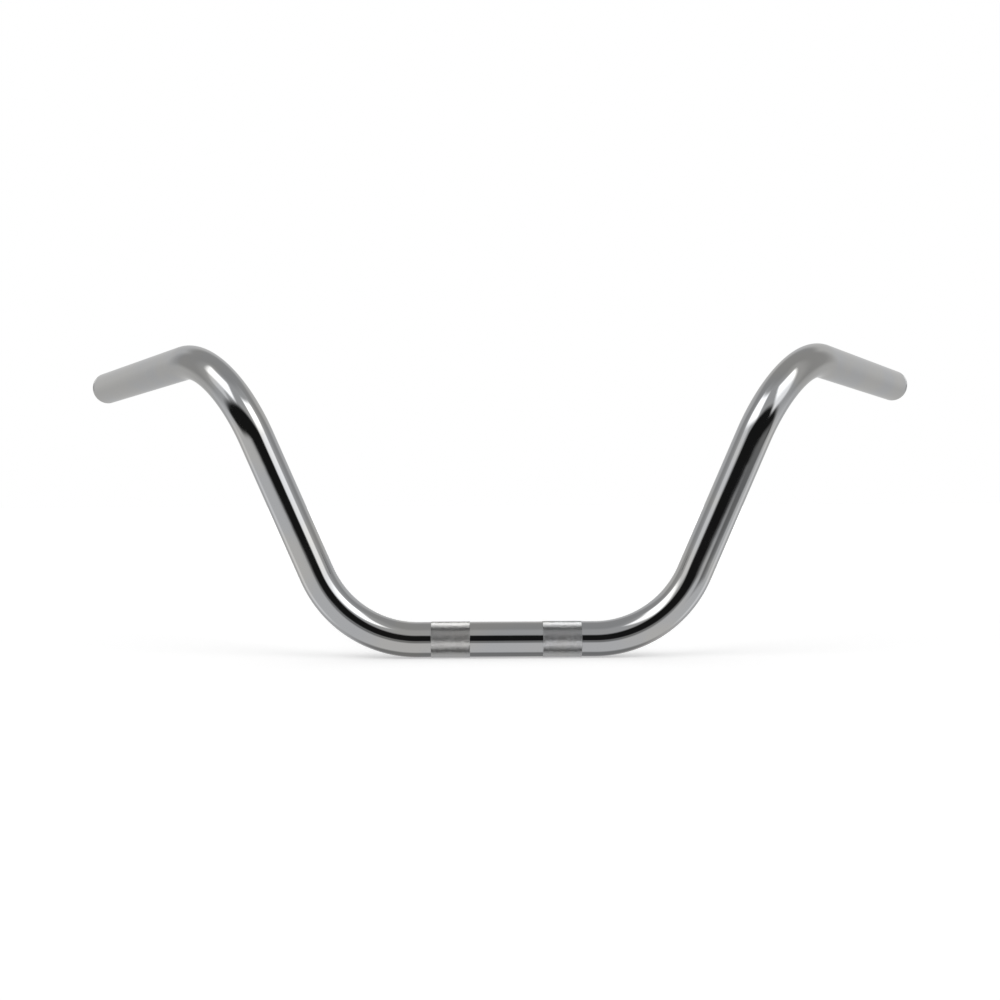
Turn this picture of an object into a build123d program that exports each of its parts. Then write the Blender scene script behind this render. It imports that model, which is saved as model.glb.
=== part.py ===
from build123d import *
import math
import os

# Pull-back motorcycle handlebar: one bent tube, two knurled clamp sleeves and two sealed end plugs.
#
# Row frame, in millimetres: the origin is on the tube's axis in the middle of the clamp section.
# +X runs along the clamp section to the rider's left, +Y runs back to the rider, and +Z is up.
# The two risers lie in the XZ plane, and the grips run back, outwards and slightly down from them.
# The model is symmetrical about the YZ plane: left pieces are modelled, and right ones are mirrored.

# Tube
tube_diameter = 25.4
tube_wall = 3.05
end_chamfer = 0.4

# Centreline of one half: clamp section, lower bend, riser, upper bend, grip
clamp_end_land = 9.5
bend_radius = 78.5
riser_angle = 66.5
riser_length = 106.5
grip_length = 178.5
grip_splay = 31.5
grip_drop = 3.5

# Knurled clamp sleeves, each split so that it can be sprung into its seat on the tube
sleeve_width = 27.8
sleeve_inner_gap = 52.2
sleeve_thickness = 0.6
sleeve_stands_proud = 0.2
sleeve_end_gap = 0.1
sleeve_split_width = 0.6
sleeve_split_angle = 45.0
sleeve_edge_chamfer = 0.15

# End plugs: a land lies before, between and after the O-ring grooves
plug_head_length = 5.0
plug_rim_radius = 3.0
plug_land_length = 5.3
plug_clearance = 0.1
plug_nose_chamfer = 1.0

# O-rings, drawn squeezed between the plug's groove and the tube's bore
ring_names = ["outer_o_ring", "inner_o_ring"]
ring_cord_diameter = 2.0
ring_squeeze = 0.25
ring_side_gap = 0.15

# How far a cutting solid reaches past what it cuts
cut_margin = 1.0

# Radii and lengths that follow from the sizes above
tube_radius = tube_diameter / 2
bore_radius = tube_radius - tube_wall
sleeve_outer_radius = tube_radius + sleeve_stands_proud
seat_radius = sleeve_outer_radius - sleeve_thickness
sleeve_middle = (sleeve_inner_gap + sleeve_width) / 2
clamp_half_length = sleeve_inner_gap / 2 + sleeve_width + clamp_end_land
spigot_radius = bore_radius - plug_clearance
ring_height = ring_cord_diameter - ring_squeeze
groove_radius = bore_radius - ring_height

# A squeezed cord keeps its area: two half rounds of the squeezed height, and a flat between them.
ring_flat = math.pi * (ring_cord_diameter**2 - ring_height**2) / (4 * ring_height)
ring_width = ring_height + ring_flat
groove_width = ring_width + 2 * ring_side_gap
ring_pitch = plug_land_length + groove_width
ring_depths = [plug_land_length + groove_width / 2 + ring_pitch * number for number in range(len(ring_names))]
spigot_length = ring_pitch * len(ring_names) + plug_land_length


def direction_in_riser_plane(angle):
    """Unit vector in the XZ plane, at the given angle above +X."""
    return Vector(math.cos(math.radians(angle)), 0, math.sin(math.radians(angle)))


def grip_direction():
    """Unit vector along the left grip, out of its open end."""
    splay = math.radians(grip_splay)
    drop = math.radians(grip_drop)
    return Vector(math.cos(drop) * math.sin(splay), math.cos(drop) * math.cos(splay), -math.sin(drop))


def turned(vector, axis, angle):
    """The vector, turned about the axis's direction by an angle in degrees."""
    return vector.rotate(Axis((0, 0, 0), axis.direction), angle)


def tube_section(frame):
    """The tube's ring-shaped section, in the XY plane of the frame."""
    return frame * (Circle(tube_radius) - Circle(bore_radius))


def straight_run(frame, length):
    """A straight stretch of tube, and the frame at its far end."""
    return extrude(tube_section(frame), length), frame.offset(length)


def bend_to(frame, heading):
    """A bend from the frame's direction of travel to a new heading, and the frame at its far end."""
    travel = frame.z_dir
    toward = (heading - travel * travel.dot(heading)).normalized()
    angle = travel.get_angle(heading)
    axis = Axis(frame.origin + toward * bend_radius, travel.cross(toward))
    piece = revolve(tube_section(frame), axis, angle)
    far_origin = axis.position + turned(frame.origin - axis.position, axis, angle)
    return piece, Plane(origin=far_origin, x_dir=turned(frame.x_dir, axis, angle), z_dir=heading)


def left_half_tube():
    """The left half of the plain tube, and the frame at the open end of its grip."""
    frame = Plane(origin=(0, 0, 0), x_dir=(0, 1, 0), z_dir=(1, 0, 0))
    clamp_section, frame = straight_run(frame, clamp_half_length)
    lower_bend, frame = bend_to(frame, direction_in_riser_plane(riser_angle))
    riser, frame = straight_run(frame, riser_length)
    upper_bend, frame = bend_to(frame, grip_direction())
    grip, frame = straight_run(frame, grip_length)
    return clamp_section + lower_bend + riser + upper_bend + grip, frame


def end_chamfer_cutter():
    """The ring that the tube's open end at z = 0 loses when its outer edge is chamfered."""
    cone = Cone(tube_radius, tube_radius - end_chamfer, end_chamfer)
    ring = Cylinder(tube_radius + cut_margin, end_chamfer) - cone
    return Pos(0, 0, -end_chamfer / 2) * ring


def sleeve_seat_cutter():
    """The ring that the tube loses to the seat of one clamp sleeve, centred on the origin along X."""
    width = sleeve_width + 2 * sleeve_end_gap
    ring = Cylinder(tube_radius + cut_margin, width) - Cylinder(seat_radius, width)
    return Rot(0, 90, 0) * ring


def bar_tube(left_half, left_end):
    """The whole bent tube, chamfered at its open ends and with a seat for each clamp sleeve."""
    left_half = left_half - left_end * end_chamfer_cutter() - Pos(sleeve_middle, 0, 0) * sleeve_seat_cutter()
    return left_half + mirror(left_half, Plane.YZ)


def knurl_sleeve():
    """A thin split sleeve, centred on the origin along X. Its outside is the crests of its knurl."""
    ring = Cylinder(sleeve_outer_radius, sleeve_width)
    ring = chamfer(ring.edges().filter_by(GeomType.CIRCLE), sleeve_edge_chamfer)
    ring = Rot(0, 90, 0) * (ring - Cylinder(seat_radius, sleeve_width))
    split_depth = sleeve_outer_radius + cut_margin
    split = Pos(0, 0, -split_depth / 2) * Box(sleeve_width + cut_margin, sleeve_split_width, split_depth)
    return ring - Rot(sleeve_split_angle, 0, 0) * split


def end_plug():
    """A turned plug along +Z: its head starts at z = 0, and its spigot runs down into the tube."""
    head = Pos(0, 0, plug_head_length / 2) * Cylinder(tube_radius, plug_head_length)
    head = fillet(head.edges().filter_by(GeomType.CIRCLE).sort_by(Axis.Z)[-1], plug_rim_radius)
    head = chamfer(head.edges().filter_by(GeomType.CIRCLE).sort_by(Axis.Z)[0], end_chamfer)
    spigot = Pos(0, 0, -spigot_length / 2) * Cylinder(spigot_radius, spigot_length)
    spigot = chamfer(spigot.edges().filter_by(GeomType.CIRCLE).sort_by(Axis.Z)[0], plug_nose_chamfer)
    groove = Cylinder(tube_radius, groove_width) - Cylinder(groove_radius, groove_width)
    for depth in ring_depths:
        spigot = spigot - Pos(0, 0, -depth) * groove
    return head + spigot


def o_ring():
    """One squeezed O-ring about Z: flat on the groove's floor and the bore, and round at its sides."""
    profile = SlotOverall(ring_width, ring_height, rotation=90)
    section = Plane.XZ * Pos((groove_radius + bore_radius) / 2, 0) * profile
    return revolve(section, Axis.Z, 360)


def export_pair(left_piece, name):
    """Write a piece of the rider's left side, and its mirror image for the right side."""
    export_step(left_piece, f"parts/{name}_left.step")
    export_step(mirror(left_piece, Plane.YZ), f"parts/{name}_right.step")


def plain_tube_volume():
    """The tube's section times the length of its centreline, before its seats and chamfers are cut."""
    rise = direction_in_riser_plane(riser_angle)
    bend_angles = math.radians(riser_angle + rise.get_angle(grip_direction()))
    length = 2 * (clamp_half_length + riser_length + grip_length + bend_radius * bend_angles)
    print(f"centreline {length:.1f} mm")
    return length * math.pi * (tube_radius**2 - bore_radius**2)


os.makedirs("parts", exist_ok=True)
left_half, left_end = left_half_tube()
tube = bar_tube(left_half, left_end)
export_step(tube, "parts/bar_tube.step")
export_pair(Pos(sleeve_middle, 0, 0) * knurl_sleeve(), "knurl_sleeve")
export_pair(left_end * end_plug(), "end_plug")
for ring_name, ring_depth in zip(ring_names, ring_depths):
    export_pair(left_end * Pos(0, 0, -ring_depth) * o_ring(), ring_name)
print(f"tube volume {tube.volume:.0f} mm3, plain tube {plain_tube_volume():.0f} mm3")
print(f"left end of the tube at {left_end.origin}, heading {left_end.z_dir}")
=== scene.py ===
import math

import bmesh
import bpy
from mathutils import Matrix, Quaternion, Vector


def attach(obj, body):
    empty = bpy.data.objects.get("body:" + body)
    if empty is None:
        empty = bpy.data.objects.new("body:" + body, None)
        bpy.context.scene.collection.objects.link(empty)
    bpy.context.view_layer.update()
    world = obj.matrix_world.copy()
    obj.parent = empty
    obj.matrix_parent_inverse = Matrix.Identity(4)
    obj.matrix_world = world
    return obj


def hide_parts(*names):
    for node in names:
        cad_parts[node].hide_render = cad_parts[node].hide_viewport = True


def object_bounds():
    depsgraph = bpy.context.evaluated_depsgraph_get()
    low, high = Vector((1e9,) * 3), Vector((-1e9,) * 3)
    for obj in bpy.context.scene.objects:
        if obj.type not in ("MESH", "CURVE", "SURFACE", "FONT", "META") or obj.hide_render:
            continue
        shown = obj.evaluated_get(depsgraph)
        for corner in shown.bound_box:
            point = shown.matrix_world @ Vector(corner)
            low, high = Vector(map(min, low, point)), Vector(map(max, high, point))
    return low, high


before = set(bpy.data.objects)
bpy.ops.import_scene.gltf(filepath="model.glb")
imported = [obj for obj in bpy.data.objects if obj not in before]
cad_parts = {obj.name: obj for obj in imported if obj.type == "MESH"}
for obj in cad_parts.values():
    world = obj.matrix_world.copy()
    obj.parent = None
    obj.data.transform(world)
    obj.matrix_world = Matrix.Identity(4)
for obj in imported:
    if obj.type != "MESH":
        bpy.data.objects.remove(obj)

cad_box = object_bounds()

# ---------------------------------------------------------------- sizes of the bar, in metres and degrees

# Centreline of one half: clamp section, lower bend, riser, upper bend, grip
CLAMP_HALF_LENGTH = 0.0634
BEND_RADIUS = 0.0785
RISER_ANGLE = 66.5
RISER_LENGTH = 0.1065
GRIP_LENGTH = 0.1785
GRIP_SPLAY = 31.5
GRIP_DROP = 3.5

# Tube
TUBE_RADIUS = 0.0127
BORE_RADIUS = 0.00965
END_CHAMFER = 0.0004

# Knurled clamp sleeves
SLEEVE_MIDDLE = 0.0400
SLEEVE_WIDTH = 0.0278
SLEEVE_END_GAP = 0.0001
SLEEVE_INNER_RADIUS = 0.0123
SLEEVE_OUTER_RADIUS = 0.0129
SLEEVE_SPLIT_WIDTH = 0.0006
SLEEVE_SPLIT_ANGLE = -45.0
SLEEVE_EDGE_CHAMFER = 0.00015
KNURLS_AROUND = 80
KNURLS_ALONG = 16
KNURL_DEPTH = 0.00025

# End plugs
PLUG_HEAD_LENGTH = 0.0050
PLUG_RIM_RADIUS = 0.0030
PLUG_SPIGOT_RADIUS = 0.00955
PLUG_SPIGOT_LENGTH = 0.02084
PLUG_NOSE_CHAMFER = 0.0010
PLUG_GROOVE_RADIUS = 0.0079
PLUG_GROOVE_WIDTH = 0.00247
PLUG_GROOVE_DEPTHS = (0.00654, 0.01431)

# ---------------------------------------------------------------- fineness of the meshes

POINTS_AROUND = 128
STRAIGHT_STEP = 0.006
BEND_STEP = 1.5
RIM_STEPS = 12
FACE_RING_SHARE = 0.94
HALF_KNURL_STEPS = 3
SHARP_ANGLE = 35.0

# ---------------------------------------------------------------- finishes

WARM_CHROME = (0.575, 0.570, 0.556)
COOL_CHROME = (0.548, 0.556, 0.568)
# Darker chrome for the knurl's grooves: painted shade
GROOVE_SHADED_CHROME = (0.38, 0.38, 0.375)
RUBBER_DARK = (0.010, 0.010, 0.011)
RUBBER_PALE = (0.032, 0.032, 0.034)

# Lowest and highest roughness of each finish
TUBE_ROUGHNESS = (0.040, 0.095)
KNURL_PLATE_ROUGHNESS = (0.16, 0.24)
PLUG_ROUGHNESS = (0.07, 0.15)
RUBBER_ROUGHNESS = (0.50, 0.72)
GROOVE_ROUGHNESS = 0.30
CREST_ROUGHNESS = 0.16

# The share of the knurl's height above which it has the crest's finish
CREST_START = 0.75

# Noise frequencies in cycles a metre. A pair is round the piece and along it.
DRIFT_FREQUENCY = 22
HAZE_FREQUENCY = 60
RIPPLE_FREQUENCY = 70
UNEVENNESS_FREQUENCY = 450
GRAIN_FREQUENCY = 2500
BUFFING_FREQUENCIES = (60, 3200)
LATHE_FREQUENCIES = (40, 4200)

# The noise values that are carried to a finish's two ends
DRIFT_SPAN = (0.38, 0.62)
HAZE_SPAN = (0.35, 0.72)
GRAIN_SPAN = (0.3, 0.7)

# Bump depths in metres
TUBE_RIPPLE_DEPTH = 0.00005
KNURL_RIPPLE_DEPTH = 0.00003
PLUG_RIPPLE_DEPTH = 0.00002
UNEVENNESS_DEPTH = 0.00016
BUFFING_DEPTH = 0.0000012
LATHE_DEPTH = 0.000003
GRAIN_DEPTH = 0.00002

# The colour sockets of a Mix node, which share their names with its other kinds of socket
MIX_COLOR_A = 6
MIX_COLOR_B = 7
MIX_COLOR_RESULT = 2

# ---------------------------------------------------------------- camera and floor

CAMERA_DISTANCE = 1.1151
CAMERA_AZIMUTH = -0.714
CAMERA_ELEVATION = 1.303
CAMERA_ROLL = -0.243
CAMERA_TARGET = Vector((-0.0041, 0.0, 0.1001))
CAMERA_LENS = 55.99
CAMERA_SENSOR = 36.0
CAMERA_CLIP_START = 0.01
CAMERA_CLIP_END = 100.0

FLOOR_HALF_WIDTH = 4.0
FLOOR_ALBEDO = 0.80
FLOOR_GLOW = 0.50
FLOOR_FAR_GLOW = 0.70
FLOOR_FADE = (0.7, 3.0)

# ---------------------------------------------------------------- room

# Brightness of the room in each direction, as the bar mirrors it
FRONT_LIGHT = 0.51
SIDE_LIGHT = 0.39
PAPER_LIGHT = 0.62
GROUND_LIGHT = 0.68
BACK_GROUND_LIGHT = 0.55
LOW_SIDE_LIGHT = 0.95
PLINTH_LIGHT = 0.26
LEFT_BOX_LIGHT = 2.0
LEFT_SKIRT_LIGHT = 0.9
RIGHT_BOX_LIGHT = (1.3, 2.3)
DARK_LIGHT = 0.012
ARCH_SHADE_LIGHT = 0.20
CAMERA_STAND_LIGHT = 0.24

# Where the room changes, in degrees sideways from straight in front, or in degrees up
FRONT_TO_SIDE = (78, 102)
TO_OVERHEAD = (60, 80)
GROUND_TO_ROOM = (-14, 2)
FRONT_TO_BACK_GROUND = (100, 128)

# Patches of the room, in degrees: from, to and blur across it, then from, to and blur up. An edge that is
# out of the room's own range isn't there.
BACK_PAPER = (124, 400, 9, -90, 42, 8)
LOW_SIDES = (98, 122, 8, -45, -16, 8)
LEFT_SKIRT = (51, 78, 6, 14, 33, 4)
LEFT_BOX = (24, 80, 6, 32, 60, 5)
ARCH_SHADE = (37, 74, 7, -22, -9, 5)
CAMERA_STAND = (-20, 13, 5, -17, -5, 5)
RIGHT_BOX = (-90, 70, 6, 9, 54, 5)

# The plinth is a round patch about a direction down and to the back: how far down, and where its edge fades
PLINTH_DOWN = 65
PLINTH_EDGE = (34, 18)

# The dark arch, in degrees: it leans down towards +X, its bottom sinks at its feet, and its top falls off
# sideways
ARCH_LEAN = 4
ARCH_BOTTOM = -6
ARCH_FOOT_DEPTH = 10
ARCH_FOOT_RATE = 1.35
ARCH_FOOT_POWER = 4
ARCH_TOP = 33
ARCH_TOP_DROP = 1
ARCH_TOP_RATE = 1.3
ARCH_BLURS = (4, 5)
ARCH_FADE = (68, 102)
ARCH_FADED = 0.5
ARCH_END = 110

# The right box has a near edge of its own, in degrees, which leans inwards as it rises. Its patch starts well
# clear of that edge. The box grows brighter upwards.
RIGHT_BOX_LEAN = 0.40
RIGHT_BOX_NEAR = 43
RIGHT_BOX_NEAR_BLUR = 6
RIGHT_BOX_BRIGHTENS = (18, 42)


class Station:
    """A place along the centreline: its distance from the bar's middle, its point, the outward direction of
    travel, and two directions across the tube."""

    def __init__(self, distance, point, travel, side, up):
        self.distance = distance
        self.point = point
        self.travel = travel
        self.side = side
        self.up = up

    def moved(self, length):
        point = self.point + self.travel * length
        return Station(self.distance + length, point, self.travel, self.side, self.up)

    def turned(self, centre, axis, angle):
        turn = Quaternion(axis, angle)
        point = centre + turn @ (self.point - centre)
        distance = self.distance + BEND_RADIUS * angle
        return Station(distance, point, turn @ self.travel, turn @ self.side, turn @ self.up)

    def mirrored(self):
        """The same place on the other side of the bar's middle, where distances are negative."""
        flip = Matrix.Diagonal((-1, 1, 1))
        point, travel, side, up = (flip @ vector for vector in (self.point, self.travel, self.side, self.up))
        return Station(-self.distance, point, travel, side, up)

    def around(self, angle, radius):
        """The point at an angle round the tube and a distance from its axis."""
        return self.point + self.side * (radius * math.cos(angle)) + self.up * (radius * math.sin(angle))


def middle_station():
    return Station(0.0, Vector((0, 0, 0)), Vector((1, 0, 0)), Vector((0, 1, 0)), Vector((0, 0, 1)))


def straight_stations(start, length):
    steps = max(1, round(length / STRAIGHT_STEP))
    return [start.moved(length * step / steps) for step in range(1, steps + 1)]


def bend_stations(start, heading):
    """Stations round a bend from the start's direction of travel to a new heading."""
    toward = (heading - start.travel * start.travel.dot(heading)).normalized()
    centre = start.point + toward * BEND_RADIUS
    axis = start.travel.cross(toward)
    angle = start.travel.angle(heading)
    steps = round(math.degrees(angle) / BEND_STEP)
    return [start.turned(centre, axis, angle * step / steps) for step in range(1, steps + 1)]


def left_stations():
    """Stations from the bar's middle to the open end of the left grip."""
    rise = math.radians(RISER_ANGLE)
    splay = math.radians(GRIP_SPLAY)
    drop = math.radians(GRIP_DROP)
    riser = Vector((math.cos(rise), 0, math.sin(rise)))
    grip = Vector((math.cos(drop) * math.sin(splay), math.cos(drop) * math.cos(splay), -math.sin(drop)))
    stations = [middle_station(), middle_station().moved(CLAMP_HALF_LENGTH)]
    stations += bend_stations(stations[-1], riser)
    stations += straight_stations(stations[-1], RISER_LENGTH)
    stations += bend_stations(stations[-1], grip)
    stations += straight_stations(stations[-1], GRIP_LENGTH)
    return stations


# ---------------------------------------------------------------- meshes

def circle_angles(points):
    return [2 * math.pi * number / points for number in range(points + 1)]


def ring_faces(rows, columns, rows_close):
    """Quads between rows of points that each close on themselves. If rows_close, the last row meets the
    first."""
    faces = []
    for row in range(rows if rows_close else rows - 1):
        for column in range(columns):
            faces.append([(row, column), (row, column + 1), (row + 1, column + 1), (row + 1, column)])
    return faces


def surface_mesh(name, points, faces, surface_map, material):
    """A mesh from a grid of points and faces given as (row, column) corners, which run on past the last row
    or column to the first. surface_map gives each corner's place on the unrolled surface, in metres."""
    rows = len(points)
    columns = len(points[0])
    mesh = bpy.data.meshes.new(name)
    indices = [[(row % rows) * columns + column % columns for row, column in face] for face in faces]
    mesh.from_pydata([point for line in points for point in line], [], indices)
    layer = mesh.uv_layers.new(name="surface")
    corners = [corner for face in faces for corner in face]
    for loop_uv, (row, column) in zip(layer.uv, corners):
        loop_uv.vector = surface_map(row, column)
    mesh.materials.append(material)
    shape = bmesh.new()
    shape.from_mesh(mesh)
    bmesh.ops.recalc_face_normals(shape, faces=shape.faces)
    shape.to_mesh(mesh)
    shape.free()
    mesh.shade_smooth()
    mesh.set_sharp_from_angle(angle=math.radians(SHARP_ANGLE))
    return mesh


def add_piece(name, mesh, node):
    """Put a piece in the scene: it rides on the bar, and stands for one of its CAD nodes."""
    piece = bpy.data.objects.new(name, mesh)
    bpy.context.scene.collection.objects.link(piece)
    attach(piece, "root")
    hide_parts(node)


def lathe_mesh(name, rings, closed, material):
    """A mesh from rings of (station, radius). Unless it closes on itself, its two ends get flat caps."""
    angles = circle_angles(POINTS_AROUND)
    points = [[station.around(angle, radius) for angle in angles[:-1]] for station, radius in rings]
    faces = ring_faces(len(rings), POINTS_AROUND, closed)
    if not closed:
        faces += [[(row, column) for column in range(POINTS_AROUND)] for row in (0, len(rings) - 1)]

    def surface_map(row, column):
        station, radius = rings[row % len(rings)]
        return angles[column] * radius, station.distance

    return surface_mesh(name, points, faces, surface_map, material)


def tube_rings():
    """The tube's outside from the middle to the left end, its bore back to the middle, and the same mirrored.
    The outside has a shallow seat for the knurled sleeve."""
    path = left_stations()
    middle = path[0]
    end = path[-1]
    outside = [(middle, TUBE_RADIUS)]
    seat_half_width = SLEEVE_WIDTH / 2 + SLEEVE_END_GAP
    for distance, radii in (
        (SLEEVE_MIDDLE - seat_half_width, (TUBE_RADIUS, SLEEVE_INNER_RADIUS)),
        (SLEEVE_MIDDLE + seat_half_width, (SLEEVE_INNER_RADIUS, TUBE_RADIUS)),
    ):
        outside += [(middle.moved(distance), radius) for radius in radii]
    outside += [(station, TUBE_RADIUS) for station in path[1:-1]]
    outside += [(end.moved(-END_CHAMFER), TUBE_RADIUS), (end, TUBE_RADIUS - END_CHAMFER)]
    half = outside + [(station, BORE_RADIUS) for station in reversed(path)]
    return half + [(station.mirrored(), radius) for station, radius in reversed(half[1:-1])]


def plug_profile():
    """The end plug's (distance out of the tube's end, radius) points, from its nose to its face."""
    head_start = PLUG_HEAD_LENGTH - PLUG_RIM_RADIUS
    face_radius = TUBE_RADIUS - PLUG_RIM_RADIUS
    profile = [(-PLUG_SPIGOT_LENGTH, PLUG_SPIGOT_RADIUS - PLUG_NOSE_CHAMFER)]
    profile.append((PLUG_NOSE_CHAMFER - PLUG_SPIGOT_LENGTH, PLUG_SPIGOT_RADIUS))
    for depth in reversed(PLUG_GROOVE_DEPTHS):
        for place in (-depth - PLUG_GROOVE_WIDTH / 2, -depth + PLUG_GROOVE_WIDTH / 2):
            radii = (PLUG_SPIGOT_RADIUS, PLUG_GROOVE_RADIUS)
            profile += [(place, radius) for radius in (radii if place < -depth else reversed(radii))]
    profile += [(0, PLUG_SPIGOT_RADIUS), (0, TUBE_RADIUS - END_CHAMFER), (END_CHAMFER, TUBE_RADIUS)]
    for step in range(RIM_STEPS + 1):
        turn = math.pi / 2 * step / RIM_STEPS
        place = head_start + PLUG_RIM_RADIUS * math.sin(turn)
        profile.append((place, face_radius + PLUG_RIM_RADIUS * math.cos(turn)))
    profile.append((PLUG_HEAD_LENGTH, face_radius * FACE_RING_SHARE))
    return profile


def plug_rings(end):
    return [(end.moved(place), radius) for place, radius in plug_profile()]


def knurl_height(row, column):
    """Height of the knurl from 0 in its grooves to 1 on its flattened crests. Grooves run both ways along the
    diagonals of a grid that has HALF_KNURL_STEPS steps from a groove to a crest."""
    period = 2 * HALF_KNURL_STEPS
    first = abs((row + column) % period - HALF_KNURL_STEPS)
    second = abs((row - column) % period - HALF_KNURL_STEPS)
    return 1 - max(0, max(first, second) - 1) / (HALF_KNURL_STEPS - 1)


def knurl_sleeve_mesh(name, middle, material):
    """The split sleeve: a knurled outside with chamfered ends, a plain inside, and flat split faces."""
    rows_along = 2 * KNURLS_ALONG * HALF_KNURL_STEPS
    columns = 2 * KNURLS_AROUND * HALF_KNURL_STEPS
    half_split = math.asin(SLEEVE_SPLIT_WIDTH / 2 / SLEEVE_OUTER_RADIUS)
    first_angle = math.radians(SLEEVE_SPLIT_ANGLE) + half_split
    angle_step = 2 * (math.pi - half_split) / columns
    knurl_half_width = SLEEVE_WIDTH / 2 - SLEEVE_EDGE_CHAMFER
    end_radius = SLEEVE_OUTER_RADIUS - SLEEVE_EDGE_CHAMFER

    # Each line is a station along the sleeve and the radii of its points round it
    lines = [(middle.moved(-SLEEVE_WIDTH / 2), [end_radius] * (columns + 1))]
    for row in range(rows_along + 1):
        station = middle.moved(knurl_half_width * (2 * row / rows_along - 1))
        depths = [KNURL_DEPTH * (1 - knurl_height(row, column)) for column in range(columns + 1)]
        lines.append((station, [SLEEVE_OUTER_RADIUS - depth for depth in depths]))
    lines.append((middle.moved(SLEEVE_WIDTH / 2), [end_radius] * (columns + 1)))
    for side in (1, -1):
        lines.append((middle.moved(side * SLEEVE_WIDTH / 2), [SLEEVE_INNER_RADIUS] * (columns + 1)))

    angles = [first_angle + angle_step * column for column in range(columns + 1)]
    points = []
    for station, radii in lines:
        points.append([station.around(angle, radius) for angle, radius in zip(angles, radii)])
    faces = []
    for row in range(len(lines)):
        for column in range(columns):
            a, b, c, d = (row, column), (row, column + 1), (row + 1, column + 1), (row + 1, column)
            crease = (row + 1 + column) % 2 == 1
            faces += [[a, b, d], [b, c, d]] if crease else [[a, b, c], [a, c, d]]
    faces += [[(row, column) for row in range(len(lines))] for column in (0, columns)]

    def surface_map(row, column):
        station, radii = lines[row % len(lines)]
        return angle_step * column * radii[column], station.distance

    mesh = surface_mesh(name, points, faces, surface_map, material)
    crest = mesh.attributes.new("crest", "FLOAT", "POINT")
    groove_radius = SLEEVE_OUTER_RADIUS - KNURL_DEPTH
    heights = [(radius - groove_radius) / KNURL_DEPTH for _, radii in lines for radius in radii]
    crest.data.foreach_set("value", [max(0.0, height) for height in heights])
    return mesh


# ---------------------------------------------------------------- shader nodes

def node_material(name):
    """A new node material, its tree and its Principled shader."""
    material = bpy.data.materials.new(name)
    material.use_nodes = True
    return material, material.node_tree, material.node_tree.nodes["Principled BSDF"]


def calculate(tree, operation, *values):
    """A Math node over numbers and sockets, as its output socket."""
    node = tree.nodes.new("ShaderNodeMath")
    node.operation = operation
    for socket, value in zip(node.inputs, values):
        if isinstance(value, bpy.types.NodeSocket):
            tree.links.new(value, socket)
        else:
            socket.default_value = value
    return node.outputs[0]


def carry(tree, value, low, high, at_low, at_high):
    """value carried smoothly from low..high to at_low..at_high, and held there outside."""
    node = tree.nodes.new("ShaderNodeMapRange")
    node.interpolation_type = "SMOOTHSTEP"
    tree.links.new(value, node.inputs["Value"])
    node.inputs["From Min"].default_value = low
    node.inputs["From Max"].default_value = high
    node.inputs["To Min"].default_value = at_low
    node.inputs["To Max"].default_value = at_high
    return node.outputs["Result"]


def band(tree, value, low, high, low_blur, high_blur):
    """1 where value lies from low to high, and 0 elsewhere, with blurred edges. low and high may be
    sockets."""
    above = carry(tree, calculate(tree, "SUBTRACT", value, low), -low_blur, low_blur, 0, 1)
    below = carry(tree, calculate(tree, "SUBTRACT", high, value), -high_blur, high_blur, 0, 1)
    return calculate(tree, "MULTIPLY", above, below)


def mixed(tree, factor, first, second):
    """A number from first to second, by factor. Either may be a number or a socket."""
    node = tree.nodes.new("ShaderNodeMix")
    tree.links.new(factor, node.inputs["Factor"])
    for socket, value in ((node.inputs["A"], first), (node.inputs["B"], second)):
        if isinstance(value, bpy.types.NodeSocket):
            tree.links.new(value, socket)
        else:
            socket.default_value = value
    return node.outputs["Result"]


def mixed_color(tree, factor, first, second):
    """A colour from first to second, by factor. Either may be a colour or a socket."""
    node = tree.nodes.new("ShaderNodeMix")
    node.data_type = "RGBA"
    tree.links.new(factor, node.inputs["Factor"])
    for socket, color in ((node.inputs[MIX_COLOR_A], first), (node.inputs[MIX_COLOR_B], second)):
        if isinstance(color, bpy.types.NodeSocket):
            tree.links.new(color, socket)
        else:
            socket.default_value = (*color, 1)
    return node.outputs[MIX_COLOR_RESULT]


def place_coordinates(tree, across, along=None):
    """Coordinates for a texture. With one frequency they are the object's own, and with two they are the
    unrolled surface's, across and along the piece. Frequencies are in cycles a metre."""
    mapping = tree.nodes.new("ShaderNodeMapping")
    if along is None:
        source = tree.nodes.new("ShaderNodeTexCoord").outputs["Object"]
        mapping.inputs["Scale"].default_value = (across, across, across)
    else:
        unrolled = tree.nodes.new("ShaderNodeUVMap")
        unrolled.uv_map = "surface"
        source = unrolled.outputs["UV"]
        mapping.inputs["Scale"].default_value = (across, along, 1)
    tree.links.new(source, mapping.inputs["Vector"])
    return mapping.outputs["Vector"]


def noise(tree, coordinates, detail, roughness=0.5):
    node = tree.nodes.new("ShaderNodeTexNoise")
    node.inputs["Scale"].default_value = 1.0
    node.inputs["Detail"].default_value = detail
    node.inputs["Roughness"].default_value = roughness
    tree.links.new(coordinates, node.inputs["Vector"])
    return node.outputs["Fac"]


def bump(tree, height, depth, under=None):
    """A bump of the given depth in metres, laid over another bump if there is one."""
    node = tree.nodes.new("ShaderNodeBump")
    node.inputs["Strength"].default_value = 1.0
    node.inputs["Distance"].default_value = depth
    tree.links.new(height, node.inputs["Height"])
    if under is not None:
        tree.links.new(under, node.inputs["Normal"])
    return node.outputs["Normal"]


# ---------------------------------------------------------------- materials

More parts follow.
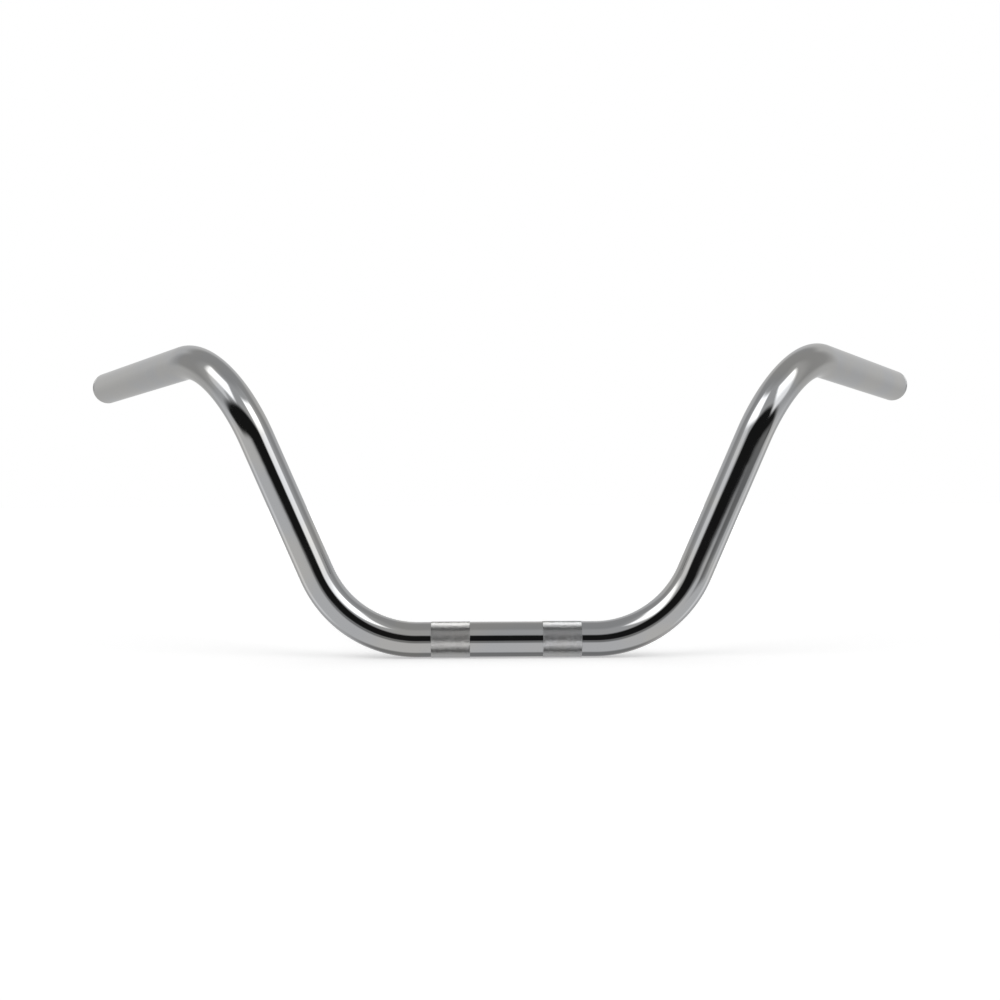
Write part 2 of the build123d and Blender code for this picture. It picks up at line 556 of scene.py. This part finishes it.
def chrome_base(name, roughness, ripple_depth):
    """Chrome plate: a faint drift between warm and cool, a haze that comes and goes between two values of
    roughness, and the soft ripples that polishing leaves. Returns the material, its tree, its shader and the
    ripples' normal."""
    material, tree, shader = node_material(name)
    shader.inputs["Metallic"].default_value = 1.0
    drift = carry(tree, noise(tree, place_coordinates(tree, DRIFT_FREQUENCY), detail=2), *DRIFT_SPAN, 0, 1)
    tree.links.new(mixed_color(tree, drift, WARM_CHROME, COOL_CHROME), shader.inputs["Base Color"])
    haze = noise(tree, place_coordinates(tree, HAZE_FREQUENCY), detail=4, roughness=0.6)
    tree.links.new(carry(tree, haze, *HAZE_SPAN, *roughness), shader.inputs["Roughness"])
    ripples = bump(tree, noise(tree, place_coordinates(tree, RIPPLE_FREQUENCY), detail=1), ripple_depth)
    return material, tree, shader, ripples


def tube_chrome():
    """The bar's show chrome, with fine lines round the tube from the buffing wheel."""
    material, tree, shader, ripples = chrome_base("tube_chrome", TUBE_ROUGHNESS, TUBE_RIPPLE_DEPTH)
    lines = noise(tree, place_coordinates(tree, *BUFFING_FREQUENCIES), detail=2)
    tree.links.new(bump(tree, lines, BUFFING_DEPTH, ripples), shader.inputs["Normal"])
    return material


def knurl_chrome():
    """Chrome over the knurl: darker in the grooves, which is painted shade, and rougher there, the plain
    plate colour on the crests, and a little uneven all over."""
    material, tree, shader, ripples = chrome_base("knurl_chrome", KNURL_PLATE_ROUGHNESS, KNURL_RIPPLE_DEPTH)
    uneven = noise(tree, place_coordinates(tree, UNEVENNESS_FREQUENCY), detail=2)
    unevenness = bump(tree, uneven, UNEVENNESS_DEPTH, ripples)
    crest = tree.nodes.new("ShaderNodeAttribute")
    crest.attribute_name = "crest"
    crest_height = carry(tree, crest.outputs["Fac"], 0, CREST_START, 0, 1)
    plate = shader.inputs["Base Color"].links[0].from_socket
    # Painted shade: the colour darkens from the crests down into the grooves
    tree.links.new(mixed_color(tree, crest_height, GROOVE_SHADED_CHROME, plate), shader.inputs["Base Color"])
    tree.links.new(mixed(tree, crest_height, GROOVE_ROUGHNESS, CREST_ROUGHNESS), shader.inputs["Roughness"])
    tree.links.new(unevenness, shader.inputs["Normal"])
    return material


def plug_chrome():
    """Chrome on a turned plug, with faint lathe marks under the plate."""
    material, tree, shader, ripples = chrome_base("plug_chrome", PLUG_ROUGHNESS, PLUG_RIPPLE_DEPTH)
    marks = noise(tree, place_coordinates(tree, *LATHE_FREQUENCIES), detail=2)
    tree.links.new(bump(tree, marks, LATHE_DEPTH, ripples), shader.inputs["Normal"])
    return material


def seal_rubber():
    """Black seal rubber with a dull, slightly uneven skin."""
    material, tree, shader = node_material("seal_rubber")
    grain = noise(tree, place_coordinates(tree, GRAIN_FREQUENCY), detail=3)
    tree.links.new(mixed_color(tree, grain, RUBBER_DARK, RUBBER_PALE), shader.inputs["Base Color"])
    tree.links.new(carry(tree, grain, *GRAIN_SPAN, *RUBBER_ROUGHNESS), shader.inputs["Roughness"])
    tree.links.new(bump(tree, grain, GRAIN_DEPTH), shader.inputs["Normal"])
    return material


# ---------------------------------------------------------------- studio

def sine(tree, degrees):
    return calculate(tree, "SINE", calculate(tree, "RADIANS", degrees))


def studio_room():
    """Light round the bar, as a function of direction: a soft pale room, a soft box high on each side, a dark
    arch in front, and the dim stand under the camera. The camera itself sees plain white."""
    world = bpy.data.worlds.new("studio_room")
    world.use_nodes = True
    bpy.context.scene.world = world
    tree = world.node_tree
    background = tree.nodes["Background"]
    background.inputs["Color"].default_value = (1, 1, 1, 1)
    direction = tree.nodes.new("ShaderNodeSeparateXYZ")
    tree.links.new(tree.nodes.new("ShaderNodeTexCoord").outputs["Generated"], direction.inputs["Vector"])
    x, y, z = direction.outputs
    azimuth = calculate(tree, "DEGREES", calculate(tree, "ARCTAN2", x, calculate(tree, "MULTIPLY", y, -1)))
    sideways = calculate(tree, "ABSOLUTE", azimuth)
    elevation = calculate(tree, "DEGREES", calculate(tree, "ARCSINE", z))

    def lit(light, share, brightness):
        return mixed(tree, share, light, brightness)

    def patch(across, across_from, across_to, across_blur, up_from, up_to, up_blur):
        """1 inside a blurred patch of the room, given in degrees across and up."""
        wide = band(tree, across, across_from, across_to, across_blur, across_blur)
        return calculate(tree, "MULTIPLY", wide, band(tree, elevation, up_from, up_to, up_blur, up_blur))

    # Upper room: paler in front than at the sides and overhead, with pale paper low behind
    upper = carry(tree, sideways, *FRONT_TO_SIDE, FRONT_LIGHT, SIDE_LIGHT)
    upper = lit(upper, carry(tree, elevation, *TO_OVERHEAD, 0, 1), SIDE_LIGHT)
    upper = lit(upper, patch(sideways, *BACK_PAPER), PAPER_LIGHT)

    # Lower room: pale, a little brighter low at the sides, and dark on the plinth under the bar
    ground = carry(tree, sideways, *FRONT_TO_BACK_GROUND, GROUND_LIGHT, BACK_GROUND_LIGHT)
    lower = lit(upper, carry(tree, elevation, *GROUND_TO_ROOM, 1, 0), ground)
    lower = lit(lower, patch(sideways, *LOW_SIDES), LOW_SIDE_LIGHT)
    down = math.radians(PLINTH_DOWN)
    plinth = calculate(tree, "MULTIPLY", y, math.cos(down))
    plinth = calculate(tree, "SUBTRACT", plinth, calculate(tree, "MULTIPLY", z, math.sin(down)))
    edge_from, edge_to = (math.cos(math.radians(angle)) for angle in PLINTH_EDGE)
    light = lit(lower, carry(tree, plinth, edge_from, edge_to, 0, 1), PLINTH_LIGHT)

    # Soft box on the -X side, with a dimmer skirt below it
    left_azimuth = calculate(tree, "MULTIPLY", azimuth, -1)
    light = lit(light, patch(left_azimuth, *LEFT_SKIRT), LEFT_SKIRT_LIGHT)
    light = lit(light, patch(left_azimuth, *LEFT_BOX), LEFT_BOX_LIGHT)

    # Dark arch in front: its crown is over the camera, and its feet are low and fade out. Below it are a grey
    # shade on the +X side and the camera's stand.
    leaning = calculate(tree, "ADD", elevation, calculate(tree, "MULTIPLY", sine(tree, azimuth), ARCH_LEAN))
    foot = sine(tree, calculate(tree, "MULTIPLY", sideways, ARCH_FOOT_RATE))
    foot = calculate(tree, "POWER", foot, ARCH_FOOT_POWER)
    bottom = calculate(tree, "SUBTRACT", ARCH_BOTTOM, calculate(tree, "MULTIPLY", foot, ARCH_FOOT_DEPTH))
    crown = sine(tree, calculate(tree, "SUBTRACT", 90, calculate(tree, "MULTIPLY", sideways, ARCH_TOP_RATE)))
    top = calculate(tree, "SUBTRACT", calculate(tree, "MULTIPLY", crown, ARCH_TOP), ARCH_TOP_DROP)
    arch = band(tree, leaning, bottom, top, *ARCH_BLURS)
    arch = calculate(tree, "MULTIPLY", arch, carry(tree, sideways, *ARCH_FADE, 1, ARCH_FADED))
    arch = calculate(tree, "MULTIPLY", arch, calculate(tree, "LESS_THAN", sideways, ARCH_END))
    light = lit(light, arch, DARK_LIGHT)
    light = lit(light, patch(azimuth, *ARCH_SHADE), ARCH_SHADE_LIGHT)
    light = lit(light, patch(sideways, *CAMERA_STAND), CAMERA_STAND_LIGHT)

    # Soft box on the +X side, in front of the arch
    outward = calculate(tree, "ADD", azimuth, calculate(tree, "MULTIPLY", elevation, RIGHT_BOX_LEAN))
    past_near = calculate(tree, "SUBTRACT", outward, RIGHT_BOX_NEAR)
    near = carry(tree, past_near, -RIGHT_BOX_NEAR_BLUR, RIGHT_BOX_NEAR_BLUR, 0, 1)
    box = calculate(tree, "MULTIPLY", near, patch(azimuth, *RIGHT_BOX))
    light = lit(light, box, carry(tree, elevation, *RIGHT_BOX_BRIGHTENS, *RIGHT_BOX_LIGHT))

    seen = tree.nodes.new("ShaderNodeLightPath").outputs["Is Camera Ray"]
    tree.links.new(mixed(tree, seen, light, 1.0), background.inputs["Strength"])


def studio_floor(height):
    """A pale seamless floor with the bar's soft shadow. Only the camera sees it: it neither lights the bar
    nor shows in it."""
    mesh = bpy.data.meshes.new("studio_floor")
    sides = ((-1, -1), (1, -1), (1, 1), (-1, 1))
    corners = [(x * FLOOR_HALF_WIDTH, y * FLOOR_HALF_WIDTH, height) for x, y in sides]
    mesh.from_pydata(corners, [], [(0, 1, 2, 3)])
    material, tree, shader = node_material("studio_floor")
    shader.inputs["Base Color"].default_value = (FLOOR_ALBEDO, FLOOR_ALBEDO, FLOOR_ALBEDO, 1)
    shader.inputs["Roughness"].default_value = 1.0
    shader.inputs["Specular IOR Level"].default_value = 0.0
    shader.inputs["Emission Color"].default_value = (1, 1, 1, 1)
    away = tree.nodes.new("ShaderNodeVectorMath")
    away.operation = "LENGTH"
    tree.links.new(tree.nodes.new("ShaderNodeTexCoord").outputs["Object"], away.inputs[0])
    glow = carry(tree, away.outputs["Value"], *FLOOR_FADE, FLOOR_GLOW, FLOOR_FAR_GLOW)
    tree.links.new(glow, shader.inputs["Emission Strength"])
    mesh.materials.append(material)
    floor = bpy.data.objects.new("studio_floor", mesh)
    bpy.context.scene.collection.objects.link(floor)
    floor.visible_diffuse = False
    floor.visible_glossy = False
    floor.visible_transmission = False
    floor.visible_shadow = False


def studio_camera():
    """The camera, in front of the bar, looking down by about a degree, and turned and rolled by less."""
    azimuth = math.radians(CAMERA_AZIMUTH)
    elevation = math.radians(CAMERA_ELEVATION)
    back = Vector((math.sin(azimuth), -math.cos(azimuth), math.tan(elevation))).normalized()
    level = Vector((math.cos(azimuth), math.sin(azimuth), 0))
    right = Quaternion(back, math.radians(CAMERA_ROLL)) @ level
    up = back.cross(right)
    turn = Matrix((right, up, back)).transposed().to_4x4()
    data = bpy.data.cameras.new("studio_camera")
    data.lens = CAMERA_LENS
    data.sensor_width = CAMERA_SENSOR
    data.clip_start = CAMERA_CLIP_START
    data.clip_end = CAMERA_CLIP_END
    camera = bpy.data.objects.new("studio_camera", data)
    camera.matrix_world = Matrix.Translation(CAMERA_TARGET + back * CAMERA_DISTANCE) @ turn
    bpy.context.scene.collection.objects.link(camera)
    bpy.context.scene.camera = camera


# ---------------------------------------------------------------- the scene

left_end = left_stations()[-1]
sleeve_middle = middle_station().moved(SLEEVE_MIDDLE)
tube_material = tube_chrome()
sleeve_material = knurl_chrome()
plug_material = plug_chrome()
ring_material = seal_rubber()

add_piece("bent_tube", lathe_mesh("bent_tube", tube_rings(), True, tube_material), "bar_tube")
for side, end, middle in (
    ("left", left_end, sleeve_middle),
    ("right", left_end.mirrored(), sleeve_middle.mirrored()),
):
    plug = lathe_mesh(f"turned_plug_{side}", plug_rings(end), False, plug_material)
    add_piece(f"turned_plug_{side}", plug, f"end_plug_{side}")
    sleeve = knurl_sleeve_mesh(f"knurled_band_{side}", middle, sleeve_material)
    add_piece(f"knurled_band_{side}", sleeve, f"knurl_sleeve_{side}")
    for ring in ("outer", "inner"):
        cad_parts[f"{ring}_o_ring_{side}"].data.materials[0] = ring_material

studio_camera()
studio_room()
studio_floor(cad_box[0].z)
bpy.context.scene.view_settings.view_transform = "Standard"
bpy.context.scene.cycles.caustics_reflective = False
